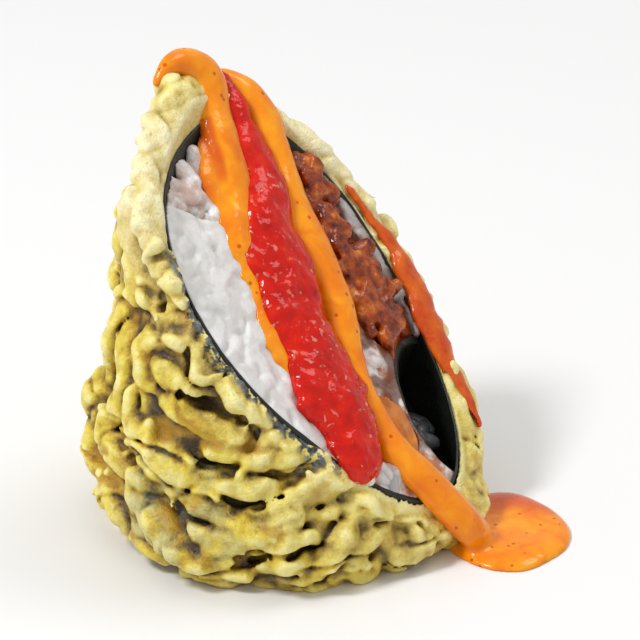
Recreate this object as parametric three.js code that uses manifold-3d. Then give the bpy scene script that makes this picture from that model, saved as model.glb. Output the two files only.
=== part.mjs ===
// One piece of a battered, deep-fried sushi roll.
//
// A short roll of rice and filling in a nori sheet is dipped in batter all round, fried, and cut on
// a steep slant. The piece stands on its battered end, and the slanting face shows batter, nori,
// rice and filling. Two sauces run down the face in strands, and one runs off the foot.
//
// Millimetres, +Z up. The origin is on the roll's axis, at the level that the piece stands on.
// +X is the way the cut face looks, and +Y runs across the cut. A bearing is an angle about Z from +X.

import * as THREE from 'three';
import { mergeVertices } from 'three/addons/utils/BufferGeometryUtils.js';
import Module from 'manifold-3d';

const wasm = await Module();
wasm.setup();

// ---------------------------------------------------------------- driving dimensions

const ROLL_RADIUS = 16.8; // outside of the nori, mean
const ROLL_CORNER = 1.0; // the roll is pressed into three soft corners, this much out of round
const ROLL_CORNER_BEARING = 12; // degrees, where one of those corners points
const NORI_THICKNESS = 0.7;
const GAP = 0.3; // between neighbouring pieces

const CUT_SLOPE = THREE.MathUtils.degToRad(49); // slope of the cut face from level
const CUT_HEIGHT = 27; // height of the cut face on the roll's axis
const FLOOR_THICKNESS = 3.5; // batter under the roll's end

// Batter thickness outside the nori at these bearings: at the cut, and near the foot.
// The tuck is how far the foot draws in again where it meets the plate.
const BEARINGS = [-180, -147, -117, -88, -57, -26, 0, 33, 90, 140];
const LIP_THICKNESS = [3.3, 3.2, 3.4, 1.6, 0.9, 1.6, 2.6, 2.6, 3.6, 2.6];
const FOOT_THICKNESS = [8.2, 9.4, 6.4, 5.4, 5.6, 3.4, 2.8, 2.0, 3.6, 5.6];
const FOOT_TUCK = [2.5, 3.0, 2.4, 2.0, 1.2, 3.2, 3.2, 1.6, 2.0, 2.5];
const TUCK_HEIGHT = 5;

// Folds of batter: bearing and height of the middle, length along the crust, tilt in degrees
// (positive climbs with the bearing), half-width and rise.
const FOLD_WIDTH = 1.9;
const FOLD_RISE = 1.7;
const FRONT_FOLDS = [
  [-104, 29.5, 10, -27, FOLD_WIDTH, 1.4],
  [-95, 20.5, 13, -5, FOLD_WIDTH, FOLD_RISE],
  [-69, 21.5, 14, -29, FOLD_WIDTH, 1.5],
  [-90, 16.5, 19, -5, FOLD_WIDTH, 1.6],
  [-56, 13.2, 12, 18, FOLD_WIDTH, FOLD_RISE],
  [-100, 11.0, 14, -23, FOLD_WIDTH, FOLD_RISE],
  [-76, 6.6, 13, 34, FOLD_WIDTH, FOLD_RISE],
  [-46, 5.6, 9, 52, 1.4, FOLD_RISE],
  [-28, 8.6, 9, -16, FOLD_WIDTH, 1.4],
  [-24, 4.2, 8, -18, FOLD_WIDTH, 1.5],
  [-98, 2.4, 10, 0, FOLD_WIDTH, 1.3],
  [-147, 10.5, 12, 88, 2.2, 2.2],
  [-120, 16.0, 17, -78, FOLD_WIDTH, 1.6],
  [-122, 38.0, 24, -82, 2.4, 1.2],
  [-5, 5.0, 8, 50, FOLD_WIDTH, 1.3],
];
// Ridge of batter along the upper rim of the cut: bearing and width. It lies this far out in the lip.
const RIM_RIDGE = [
  [-108, 2.0], [-126, 3.0], [-146, 3.6], [-164, 4.2], [-180, 5.0], [-194, 4.6], [-210, 3.2], [-230, 2.4],
];
const RIDGE_OUT = 0.6;
const RIDGE_HEIGHT = 1.5;
// Knobs of batter on the ridge, under the sauce: u, v and w on the cut face, and radius.
const APEX_KNOBS = [[-30.0, 0.4, -0.2, 2.3], [-29.6, 3.4, -0.4, 2.3]];
const BACK_FOLD_BEARINGS = [15, 212]; // the folds that rows and a seeded draw lay round the back
const BACK_FOLD_PITCH = 24; // degrees
const BACK_ROW_PITCH = 5.2; // up the crust
const CRUST_SEED = 7;

// Fillings, as upright columns through the rice: middle (x, y) and half-sizes.
const FILLING = { x: -2.5, y: 11.0, long: 9.6, short: 2.9, turn: -15 };
const FILLING_HEAD = { x: 3.0, y: 10.2, long: 4.4, short: 4.2, turn: 0 };
const STRIP = { x: 11.2, y: 1.2, long: 2.4, short: 2.0, turn: 20 };
const FILLING_PROUD = 0.5;
const CHOP_SIZE = 1.6;
const CHOP_SEED = 5;
// Hollow where rice has fallen out beside the fillings, open to the nori.
const POCKET = { x: 11.6, y: 9.6, long: 6.4, short: 4.9, turn: -48 };
const POCKET_DEPTH = 5;
const POCKET_FLOOR = 6; // it stops at this height, on rice

const GRAIN = { length: 5.2, width: 2.6, rise: 0.85 };
const GRAIN_PITCH = 3.9;
const RICE_SEED = 21;

// Strands of sauce on the cut face: u down the slope and v across, from the axis, the strand's
// width, and w, how far its middle lies off the cut.
const STRAND_HEIGHT = 1.9;
const STRAND_SINK = -0.25;
const ORANGE_LEFT = [
  [-31.2, -1.2, 2.4, -0.6], [-32.2, -0.4, 3.2, 0.6], [-32.3, 1.4, 3.8, 1.1], [-31.4, 4.0, 4.2, 1.1],
  [-29.7, 5.6, 4.2, 0.8], [-28.0, 5.6, 4.2, 0.4], [-26.0, 4.9, 4.2, STRAND_SINK], [-22.6, 3.2, 4.1, STRAND_SINK],
  [-18.7, 1.6, 4.0, STRAND_SINK], [-15.0, -0.3, 3.6, STRAND_SINK], [-12.2, -2.8, 3.0, STRAND_SINK],
  [-9.6, -4.4, 2.2, STRAND_SINK],
];
const RED_STRAND = [
  [-28.6, 9.3, 2.2, -0.8], [-25.4, 8.4, 2.6, STRAND_SINK], [-20.5, 6.2, 4.0, STRAND_SINK],
  [-16.0, 4.8, 4.8, STRAND_SINK], [-12.5, 2.4, 5.8, STRAND_SINK], [-9.0, 0.2, 7.2, STRAND_SINK],
  [-5.0, -1.6, 8.4, STRAND_SINK], [0.0, -3.0, 7.6, STRAND_SINK], [6.0, -4.6, 7.8, STRAND_SINK],
  [10.5, -6.2, 8.6, STRAND_SINK], [14.6, -6.9, 7.6, STRAND_SINK], [18.0, -8.0, 4.6, STRAND_SINK],
];
const ORANGE_RIGHT = [
  [-27.6, 10.4, 2.2, -0.8], [-25.0, 11.2, 3.2, STRAND_SINK], [-21.4, 11.4, 4.0, STRAND_SINK],
  [-18.5, 10.2, 3.8, STRAND_SINK], [-15.3, 9.2, 3.6, STRAND_SINK], [-11.5, 7.4, 3.8, STRAND_SINK],
  [-7.2, 6.3, 4.6, STRAND_SINK], [-4.0, 5.6, 4.4, STRAND_SINK], [-0.5, 4.8, 3.8, STRAND_SINK],
  [2.7, 3.4, 4.0, STRAND_SINK], [7.3, 0.9, 3.4, STRAND_SINK], [12.2, -1.0, 3.2, STRAND_SINK],
  [17.4, -1.9, 3.2, STRAND_SINK], [20.2, -2.1, 4.0, STRAND_SINK], [23.6, -1.3, 4.2, STRAND_SINK],
  [27.2, -0.4, 4.2, 0.2],
];
const TONGUE = [[18.2, -0.4, 6.6, 4.2], [20.4, -0.2, 4.6, 4.2], [21.8, 0.6, 2.8, 4.4], [23.2, 2.0, 1.0, 5.2]];
const POOL = { x: 21.8, y: 7.8, long: 9.6, short: 6.6, turn: -57, height: 1.3 };

// ---------------------------------------------------------------- helpers

const degToRad = THREE.MathUtils.degToRad;
const clamp = THREE.MathUtils.clamp;
const slopeTan = Math.tan(CUT_SLOPE);
const cutNormal = new THREE.Vector3(Math.sin(CUT_SLOPE), 0, Math.cos(CUT_SLOPE));

function seededRandom(seed) {
  let state = seed >>> 0;
  return () => {
    state = (Math.imul(state, 1664525) + 1013904223) >>> 0;
    return state / 4294967296;
  };
}

function toSolid(geometry) {
  const bare = geometry.clone();
  bare.deleteAttribute('normal');
  bare.deleteAttribute('uv');
  const merged = mergeVertices(bare, 1e-4);
  return new wasm.Manifold(new wasm.Mesh({
    numProp: 3,
    vertProperties: new Float32Array(merged.attributes.position.array),
    triVerts: new Uint32Array(merged.index.array),
  }));
}

// Cutting can leave a loose scrap, which is dropped: a piece is its largest body.
function largestBody(solid) {
  const bodies = solid.decompose();
  return bodies.reduce((best, body) => (body.volume() > best.volume() ? body : best));
}

function toMesh(name, solid, material) {
  const result = largestBody(solid).getMesh();
  const geometry = new THREE.BufferGeometry();
  geometry.setAttribute('position', new THREE.BufferAttribute(result.vertProperties, 3));
  geometry.setIndex(new THREE.BufferAttribute(result.triVerts, 1));
  geometry.computeVertexNormals();
  const mesh = new THREE.Mesh(geometry, material);
  mesh.name = name;
  return mesh;
}

// A value set at each bearing, joined by smooth steps round the roll.
function atBearing(values, bearing) {
  const first = BEARINGS[0];
  const turned = first + THREE.MathUtils.euclideanModulo(bearing - first, 360);
  for (let i = 0; i < BEARINGS.length; i += 1) {
    const next = i + 1 < BEARINGS.length ? BEARINGS[i + 1] : first + 360;
    if (turned <= next) {
      const step = THREE.MathUtils.smoothstep(turned, BEARINGS[i], next);
      return THREE.MathUtils.lerp(values[i], values[(i + 1) % BEARINGS.length], step);
    }
  }
  return values[0];
}

function rollRadius(bearing) {
  return ROLL_RADIUS + ROLL_CORNER * Math.cos(3 * degToRad(bearing - ROLL_CORNER_BEARING));
}

function cutHeightAt(x) {
  return CUT_HEIGHT - slopeTan * x;
}

// A point of the cut face, with u down the slope, v across and w out of the face.
function onCut(u, v, w) {
  const cos = Math.cos(CUT_SLOPE);
  const sin = Math.sin(CUT_SLOPE);
  return new THREE.Vector3(u * cos + w * sin, v, CUT_HEIGHT - u * sin + w * cos);
}

// Everything more than `lift` above the cut face.
function aboveCut(lift) {
  const size = 140;
  const block = new THREE.BoxGeometry(size, size, size);
  block.translate(0, 0, size / 2);
  block.rotateY(CUT_SLOPE);
  const corner = onCut(0, 0, lift);
  block.translate(corner.x, corner.y, corner.z);
  return toSolid(block);
}

function upright(shape, bottom, top) {
  const geometry = new THREE.ExtrudeGeometry(shape, { depth: top - bottom, bevelEnabled: false });
  geometry.translate(0, 0, bottom);
  return toSolid(geometry);
}

// The roll's own section, moved in or out by `offset`, as an upright column.
function rollColumn(offset, bottom, top) {
  const sides = 72;
  const outline = [];
  for (let i = 0; i < sides; i += 1) {
    const bearing = (360 * i) / sides;
    const radius = rollRadius(bearing) + offset;
    const angle = degToRad(bearing);
    outline.push(new THREE.Vector2(radius * Math.cos(angle), radius * Math.sin(angle)));
  }
  return upright(new THREE.Shape(outline), bottom, top);
}

function ovalColumn(oval, offset, bottom, top) {
  const shape = new THREE.Shape();
  shape.absellipse(
    oval.x, oval.y, oval.long + offset, oval.short + offset, 0, 2 * Math.PI, false, degToRad(oval.turn),
  );
  return upright(new THREE.Shape(shape.getPoints(24).slice(0, -1)), bottom, top);
}

// A closed surface from rings of points, each ring with the same count, and a point at each end.
// Each patch is split along its shorter diagonal, so that folds stay smooth.
function ringBody(rings, start, end) {
  const count = rings[0].length;
  const points = [start, ...rings.flat(), end];
  const faces = [];
  const at = (ring, i) => 1 + ring * count + (i % count);
  for (let i = 0; i < count; i += 1) {
    faces.push(0, at(0, i + 1), at(0, i));
    faces.push(points.length - 1, at(rings.length - 1, i), at(rings.length - 1, i + 1));
    for (let ring = 0; ring + 1 < rings.length; ring += 1) {
      const [a, b, c, d] = [at(ring, i), at(ring, i + 1), at(ring + 1, i + 1), at(ring + 1, i)];
      if (points[a].distanceTo(points[c]) < points[b].distanceTo(points[d])) {
        faces.push(a, b, c, a, c, d);
      } else {
        faces.push(a, b, d, b, c, d);
      }
    }
  }
  const geometry = new THREE.BufferGeometry();
  geometry.setAttribute('position', new THREE.Float32BufferAttribute(points.flatMap((p) => p.toArray()), 3));
  geometry.setIndex(faces);
  return toSolid(geometry);
}

// A soft strand along `points` (Vector3), with its width at each one. It is half as high as wide
// where narrow, and never higher than `height`. `up` is the way that it stands off what it lies on.
function strand(points, widths, height, up, growth = 0) {
  const path = new THREE.CatmullRomCurve3(points, false, 'centripetal');
  const steps = points.length * 2;
  const sides = 10;
  const rings = [];
  for (let step = 0; step <= steps; step += 1) {
    const along = step / steps;
    const middle = path.getPoint(along);
    const tangent = path.getTangent(along);
    const side = new THREE.Vector3().crossVectors(up, tangent).normalize();
    const lift = new THREE.Vector3().crossVectors(tangent, side).normalize();
    const place = along * (points.length - 1);
    const from = Math.min(Math.floor(place), points.length - 2);
    const width = THREE.MathUtils.lerp(widths[from], widths[from + 1], place - from);
    const taper = Math.sqrt(1 - (2 * along - 1) ** 8) * 0.75 + 0.25;
    const halfWidth = (width / 2) * taper + growth;
    const halfHeight = Math.min(height, width * 0.55) * taper + growth;
    const ring = [];
    for (let i = 0; i < sides; i += 1) {
      const angle = (2 * Math.PI * (i + 0.5)) / sides;
      ring.push(middle.clone()
        .addScaledVector(side, halfWidth * Math.cos(angle))
        .addScaledVector(lift, halfHeight * Math.sin(angle)));
    }
    rings.push(ring);
  }
  return ringBody(rings, path.getPoint(0), path.getPoint(1));
}

// ---------------------------------------------------------------- batter

function backFolds() {
  const random = seededRandom(CRUST_SEED);
  const folds = [];
  const [from, to] = BACK_FOLD_BEARINGS;
  for (let bearing = from; bearing <= to; bearing += BACK_FOLD_PITCH) {
    const top = cutHeightAt(ROLL_RADIUS * Math.cos(degToRad(bearing))) - 3;
    for (let height = 3; height < top; height += BACK_ROW_PITCH) {
      folds.push([
        bearing + BACK_FOLD_PITCH * (random() - 0.5),
        height + BACK_ROW_PITCH * 0.5 * (random() - 0.5),
        8 + 7 * random(),
        70 * (random() - 0.5),
        FOLD_WIDTH,
        1.0 + 1.0 * random(),
      ]);
    }
  }
  return folds;
}

const folds = [...FRONT_FOLDS, ...backFolds()];

// How far the crust stands out at a place, from the folds that pass over it.
function foldRelief(bearing, z) {
  const crustRadius = 21;
  let relief = 0;
  for (const [foldBearing, foldZ, length, tilt, width, rise] of folds) {
    const turned = THREE.MathUtils.euclideanModulo(bearing - foldBearing + 180, 360) - 180;
    const across = degToRad(turned) * crustRadius;
    const up = z - foldZ;
    const cos = Math.cos(degToRad(tilt));
    const sin = Math.sin(degToRad(tilt));
    const along = across * cos + up * sin;
    const beyond = Math.max(0, Math.abs(along) - length / 2);
    const aside = up * cos - across * sin;
    const distance = Math.hypot(beyond, aside) / width;
    relief = Math.max(relief, rise * Math.exp(-distance * distance));
  }
  return relief;
}

function crustRadius(bearing, z) {
  const cutZ = cutHeightAt(20 * Math.cos(degToRad(bearing)));
  const drop = clamp((cutZ - z) / Math.max(cutZ - TUCK_HEIGHT, 4), 0, 1);
  const lip = atBearing(LIP_THICKNESS, bearing);
  const foot = atBearing(FOOT_THICKNESS, bearing);
  const tucked = clamp(1 - z / TUCK_HEIGHT, 0, 1) ** 2;
  const batter = THREE.MathUtils.lerp(lip, foot, drop) - atBearing(FOOT_TUCK, bearing) * tucked;
  return rollRadius(bearing) + batter + foldRelief(bearing, z) * clamp(0.4 + drop * 4, 0, 1);
}

// The whole crust of the roll as level rings, before it is cut.
function crustBody() {
  const sides = 96;
  const ringPitch = 1.47;
  const top = 58;
  const rings = [];
  for (let z = 0; z <= top; z += ringPitch) {
    const points = [];
    for (let i = 0; i < sides; i += 1) {
      const bearing = (360 * i) / sides;
      const angle = degToRad(bearing);
      const radius = crustRadius(bearing, z);
      points.push(new THREE.Vector3(radius * Math.cos(angle), radius * Math.sin(angle), z));
    }
    rings.push(points);
  }
  return ringBody(rings, new THREE.Vector3(0, 0, 0), new THREE.Vector3(0, 0, top));
}

function rimRidge() {
  const points = RIM_RIDGE.map(([bearing]) => {
    const radius = rollRadius(bearing) + RIDGE_OUT * atBearing(LIP_THICKNESS, bearing);
    const x = radius * Math.cos(degToRad(bearing));
    return new THREE.Vector3(x, radius * Math.sin(degToRad(bearing)), cutHeightAt(x));
  });
  let ridge = strand(points, RIM_RIDGE.map(([, width]) => width), RIDGE_HEIGHT, cutNormal);
  for (const [u, v, w, radius] of APEX_KNOBS) {
    const geometry = new THREE.SphereGeometry(radius, 10, 7);
    const place = onCut(u, v, w);
    geometry.translate(place.x, place.y, place.z);
    ridge = ridge.add(toSolid(geometry));
  }
  return ridge;
}

function pool() {
  const geometry = new THREE.SphereGeometry(1, 24, 10);
  geometry.rotateX(Math.PI / 2);
  geometry.scale(POOL.long, POOL.short, POOL.height * 1.6);
  geometry.rotateZ(degToRad(POOL.turn));
  geometry.translate(POOL.x, POOL.y, -POOL.height * 0.6);
  return toSolid(geometry);
}

function belowPlate() {
  const size = 140;
  const block = new THREE.BoxGeometry(size, size, size);
  block.translate(0, 0, -size / 2);
  return toSolid(block);
}

// ---------------------------------------------------------------- sauce strands

function faceStrand(route, growth = 0) {
  const points = route.map(([u, v, , w]) => onCut(u, v, w));
  return strand(points, route.map(([, , width]) => width), STRAND_HEIGHT, cutNormal, growth);
}

function tongue() {
  const points = TONGUE.map(([x, y, z]) => new THREE.Vector3(x, y, z));
  return strand(points, TONGUE.map(([, , , width]) => width), STRAND_HEIGHT * 0.8, cutNormal);
}

const STRANDS = [ORANGE_LEFT, RED_STRAND, ORANGE_RIGHT];

// ---------------------------------------------------------------- rice

// Distance from an oval's rim, below zero inside it, near enough for placing grains.
function fromOval(oval, x, y) {
  const turn = degToRad(oval.turn);
  const along = (x - oval.x) * Math.cos(turn) + (y - oval.y) * Math.sin(turn);
  const across = (y - oval.y) * Math.cos(turn) - (x - oval.x) * Math.sin(turn);
  return (Math.hypot(along / oval.long, across / oval.short) - 1) * oval.short;
}

function grainAt(place, turn) {
  const geometry = new THREE.SphereGeometry(1, 5, 4);
  geometry.rotateZ(Math.PI / 2);
  geometry.scale(GRAIN.length / 2, GRAIN.width / 2, GRAIN.width / 2);
  geometry.rotateZ(turn);
  geometry.rotateY(CUT_SLOPE);
  geometry.translate(place.x, place.y, place.z);
  return toSolid(geometry);
}

// Grains in rows over the cut and over the pocket's floor, half sunk in the rice.
function grains() {
  const random = seededRandom(RICE_SEED);
  const placed = [];
  const reach = ROLL_RADIUS / Math.cos(CUT_SLOPE);
  for (let u = -reach; u < reach; u += GRAIN_PITCH) {
    for (let v = -ROLL_RADIUS; v < ROLL_RADIUS; v += GRAIN_PITCH) {
      const du = u + GRAIN_PITCH * 0.5 * random();
      const dv = v + GRAIN_PITCH * 0.5 * random();
      const turn = Math.PI * random();
      const flat = onCut(du, dv, 0);
      const bearing = THREE.MathUtils.radToDeg(Math.atan2(flat.y, flat.x));
      const inset = rollRadius(bearing) - Math.hypot(flat.x, flat.y);
      const nearest = Math.min(...[FILLING, FILLING_HEAD, STRIP].map((oval) => fromOval(oval, flat.x, flat.y)));
      const fromPocket = fromOval(POCKET, flat.x, flat.y);
      if (inset < 3.4 || nearest < 1.4 || Math.abs(fromPocket) < 0.8) {
        continue;
      }
      const place = onCut(du, dv, GRAIN.rise - GRAIN.width / 2 - (fromPocket < 0 ? POCKET_DEPTH : 0));
      place.z = Math.max(place.z, POCKET_FLOOR - GRAIN.rise);
      placed.push(grainAt(place, turn));
    }
  }
  return placed;
}

// ---------------------------------------------------------------- the pieces

const BOTTOM = FLOOR_THICKNESS + GAP;
const TOP = 60;
const sawn = aboveCut(0);

function batterPiece() {
  const plate = belowPlate();
  const outside = rollColumn(GAP, FLOOR_THICKNESS, TOP);
  let sauce = tongue().add(pool());
  for (const route of STRANDS) {
    sauce = sauce.add(faceStrand(route));
  }
  const crust = crustBody().subtract(sawn).add(rimRidge());
  return crust.add(sauce.subtract(rollColumn(0, -TOP, TOP))).subtract(outside).subtract(plate);
}

function noriPiece() {
  const sheet = rollColumn(0, BOTTOM, TOP).subtract(rollColumn(-NORI_THICKNESS, 0, TOP));
  return sheet.subtract(sawn);
}

function ricePiece() {
  const room = rollColumn(-NORI_THICKNESS - GAP, BOTTOM, TOP);
  const hollow = ovalColumn(POCKET, 0, POCKET_FLOOR, TOP).intersect(aboveCut(-POCKET_DEPTH));
  let rice = room.subtract(sawn).subtract(hollow);
  for (const grain of grains()) {
    rice = rice.add(grain);
  }
  for (const oval of [FILLING, FILLING_HEAD, STRIP]) {
    rice = rice.subtract(ovalColumn(oval, GAP, 0, TOP));
  }
  const insideNori = rollColumn(-NORI_THICKNESS - 2 * GAP, 0, TOP);
  for (const route of STRANDS) {
    rice = rice.add(faceStrand(route).intersect(insideNori));
  }
  return rice;
}

// Chopped bits over the top of a filling, half sunk in it.
function choppedBits(oval) {
  const random = seededRandom(CHOP_SEED);
  const bits = [];
  for (let along = -oval.long + CHOP_SIZE; along < oval.long - CHOP_SIZE; along += CHOP_SIZE * 1.3) {
    const across = (oval.short - CHOP_SIZE) * (2 * random() - 1);
    const turn = degToRad(oval.turn);
    const x = oval.x + along * Math.cos(turn) - across * Math.sin(turn);
    const y = oval.y + along * Math.sin(turn) + across * Math.cos(turn);
    const geometry = new THREE.SphereGeometry(CHOP_SIZE * (0.8 + 0.4 * random()), 6, 4);
    geometry.rotateX(Math.PI * random());
    geometry.translate(x, y, cutHeightAt(x) + FILLING_PROUD);
    bits.push(toSolid(geometry));
  }
  return bits;
}

// A filling stands a little proud of the cut, and stays clear of the sauce over it.
function fillingPiece(ovals, bits) {
  let piece = ovalColumn(ovals[0], 0, BOTTOM - 1, TOP);
  for (const oval of ovals.slice(1)) {
    piece = piece.add(ovalColumn(oval, 0, BOTTOM - 1, TOP));
  }
  const column = piece;
  piece = piece.subtract(aboveCut(FILLING_PROUD));
  for (const bit of bits) {
    piece = piece.add(bit.intersect(column));
  }
  for (const route of STRANDS) {
    piece = piece.subtract(faceStrand(route, GAP));
  }
  return piece.intersect(rollColumn(-NORI_THICKNESS - GAP, BOTTOM, TOP));
}

// ---------------------------------------------------------------- the object

const batterMaterial = new THREE.MeshStandardMaterial({ color: '#c9b160', roughness: 0.6, metalness: 0 });
const noriMaterial = new THREE.MeshStandardMaterial({ color: '#1c2119', roughness: 0.55, metalness: 0 });
const riceMaterial = new THREE.MeshStandardMaterial({ color: '#e4e0d8', roughness: 0.5, metalness: 0 });
const fillingMaterial = new THREE.MeshStandardMaterial({ color: '#a5521f', roughness: 0.35, metalness: 0 });
const stripMaterial = new THREE.MeshStandardMaterial({ color: '#d8743a', roughness: 0.4, metalness: 0 });

const group = new THREE.Group();
group.add(toMesh('batter', batterPiece(), batterMaterial));
group.add(toMesh('nori', noriPiece(), noriMaterial));
group.add(toMesh('rice', ricePiece(), riceMaterial));
const bits = [...choppedBits(FILLING), ...choppedBits(FILLING_HEAD)];
group.add(toMesh('filling_chopped', fillingPiece([FILLING, FILLING_HEAD], bits), fillingMaterial));
group.add(toMesh('filling_strip', fillingPiece([STRIP], []), stripMaterial));

export default group;
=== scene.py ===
"""The looks of one piece of battered, deep-fried sushi roll.

Shapes are worked out in millimetres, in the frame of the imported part: origin on the roll's axis at
the level that the piece stands on, +X the way the cut face looks, +Y across the cut, +Z up. Each
soft shape is a field of distances, negative inside, that is turned into a mesh at the end.
"""
import math

import bpy
import numpy as np
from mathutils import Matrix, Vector


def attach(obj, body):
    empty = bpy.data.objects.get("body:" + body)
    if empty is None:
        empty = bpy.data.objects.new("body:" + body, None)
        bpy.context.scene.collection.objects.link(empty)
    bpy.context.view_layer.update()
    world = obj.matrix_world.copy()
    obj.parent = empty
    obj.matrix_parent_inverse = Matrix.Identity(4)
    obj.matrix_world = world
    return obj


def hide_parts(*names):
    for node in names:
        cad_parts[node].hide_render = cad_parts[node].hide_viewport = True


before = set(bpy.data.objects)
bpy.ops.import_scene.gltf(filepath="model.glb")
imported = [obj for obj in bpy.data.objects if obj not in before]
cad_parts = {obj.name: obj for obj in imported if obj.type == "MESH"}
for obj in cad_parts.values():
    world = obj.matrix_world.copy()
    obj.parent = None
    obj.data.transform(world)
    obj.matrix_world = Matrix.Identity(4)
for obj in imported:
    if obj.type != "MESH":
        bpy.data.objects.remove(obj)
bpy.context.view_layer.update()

MM = 0.001

# ---------------------------------------------------------------- the part's own dimensions, mm

ROLL_RADIUS = 16.8
ROLL_CORNER = 1.0
ROLL_CORNER_BEARING = 12
CUT_SLOPE = math.radians(49)
CUT_HEIGHT = 27
FLOOR_THICKNESS = 3.5
ROLL_BOTTOM = FLOOR_THICKNESS + 0.3  # a little batter over the floor carries the roll
TUCK_HEIGHT = 5

BEARINGS = (-180, -147, -117, -88, -57, -26, 0, 33, 90, 140)
LIP_THICKNESS = (3.3, 3.2, 3.4, 1.6, 0.9, 1.6, 2.6, 3.5, 4.4, 2.6)
FOOT_THICKNESS = (8.2, 9.4, 6.4, 5.4, 5.6, 3.4, 2.8, 2.8, 4.2, 5.6)
FOOT_TUCK = (2.5, 3.0, 2.4, 2.0, 1.2, 3.2, 3.2, 1.6, 2.0, 2.5)

NORI_THICKNESS = 0.22
NORI_DEPTH = 0.30  # from the outside of the nori to the rice

FILLING = dict(x=-2.5, y=11.0, long=9.6, short=2.9, turn=-15)
FILLING_HEAD = dict(x=3.0, y=10.2, long=4.4, short=4.2, turn=0)
STRIP = dict(x=11.2, y=1.2, long=2.4, short=2.0, turn=20)
POCKET = dict(x=11.6, y=9.6, long=6.4, short=4.9, turn=-48)
POCKET_DEPTH = 8
POCKET_LEAN = (-0.45, 0.75)  # how far the hollow shifts in x and y for each mm of depth
POCKET_SQUEEZE = 0.75
POCKET_FLOOR = 5.5

COS = math.cos(CUT_SLOPE)
SIN = math.sin(CUT_SLOPE)
TAN = math.tan(CUT_SLOPE)
CUT_NORMAL = np.array([SIN, 0, COS])


def on_cut(u, v, w=0.0):
    """A point of the cut face: u down the slope, v across, w out of the face."""
    return np.array([u * COS + w * SIN, v, CUT_HEIGHT - u * SIN + w * COS])


def above_cut(x, z):
    """Height above the cut face, square to it."""
    return x * SIN + (z - CUT_HEIGHT) * COS


def down_cut(x, z):
    """Distance down the slope of the cut face."""
    return x * COS - (z - CUT_HEIGHT) * SIN


def cut_z(x):
    """Height of the cut face over the plate."""
    return CUT_HEIGHT - TAN * x


def rim_z(bearing):
    """Height of the cut face at the roll's wall."""
    return CUT_HEIGHT - TAN * ROLL_RADIUS * math.cos(math.radians(bearing))


def roll_radius(bearing):
    return ROLL_RADIUS + ROLL_CORNER * np.cos(3 * np.radians(bearing - ROLL_CORNER_BEARING))


def from_wall(x, y):
    """Distance outside the roll's wall, negative inside it."""
    return np.hypot(x, y) - roll_radius(np.degrees(np.arctan2(y, x)))


def at_bearing(values, bearing):
    """A value set at each of BEARINGS, joined by smooth steps round the roll."""
    stops = np.array(BEARINGS + (BEARINGS[0] + 360,), float)
    heights = np.array(values + (values[0],), float)
    turned = BEARINGS[0] + np.mod(bearing - BEARINGS[0], 360)
    index = np.clip(np.searchsorted(stops, turned, side="right") - 1, 0, len(BEARINGS) - 1)
    step = (turned - stops[index]) / (stops[index + 1] - stops[index])
    step = step * step * (3 - 2 * step)
    return heights[index] + (heights[index + 1] - heights[index]) * step


# ---------------------------------------------------------------- noise, routes and fields

NOISE_SIZE = 32
WHOLE = (slice(None),) * 3


def between_points(values, cell, part, kind, wrap=None):
    """Values of a grid between its points: `part` of the way from each cell's first corner to its last."""
    total = np.zeros(len(cell), kind)
    for corner in np.ndindex(2, 2, 2):
        weight = np.ones(len(cell), kind)
        for axis in range(3):
            weight *= part[:, axis] if corner[axis] else 1 - part[:, axis]
        at = cell + corner
        if wrap:
            at = at % wrap
        total += weight * values[at[:, 0], at[:, 1], at[:, 2]]
    return total


def noise(points, wavelength, seed):
    """Smooth noise from -1 to 1 at points, with bumps about half a wavelength across."""
    table = np.random.default_rng(seed).uniform(-1, 1, (NOISE_SIZE,) * 3).astype(np.float32)
    place = np.asarray(points, np.float32) / wavelength
    cell = np.floor(place).astype(np.int32)
    part = place - cell
    part = part * part * (3 - 2 * part)
    return between_points(table, cell, part, np.float32, NOISE_SIZE)


def smooth_route(rows, per_span=4):
    """Rows of numbers joined by a Catmull-Rom curve, with per_span steps between two rows."""
    rows = np.array(rows, float)
    padded = np.vstack([rows[0], rows, rows[-1]])
    out = []
    for i in range(len(rows) - 1):
        p0, p1, p2, p3 = padded[i:i + 4]
        for t in np.arange(per_span) / per_span:
            out.append(0.5 * (2 * p1 + (p2 - p0) * t + (2 * p0 - 5 * p1 + 4 * p2 - p3) * t ** 2
                              + (3 * p1 - p0 - 3 * p2 + p3) * t ** 3))
    out.append(rows[-1])
    return np.array(out)


def smooth_step(low, high, value):
    """0 at low, 1 at high, and level at both ends. low may be the higher number."""
    t = np.clip((value - low) / (high - low), 0, 1)
    return t * t * (3 - 2 * t)


def smooth_band(low, high, soft, value):
    """1 between low and high, falling to 0 at both over `soft`."""
    return smooth_step(low, low + soft, value) * smooth_step(high, high - soft, value)


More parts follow.
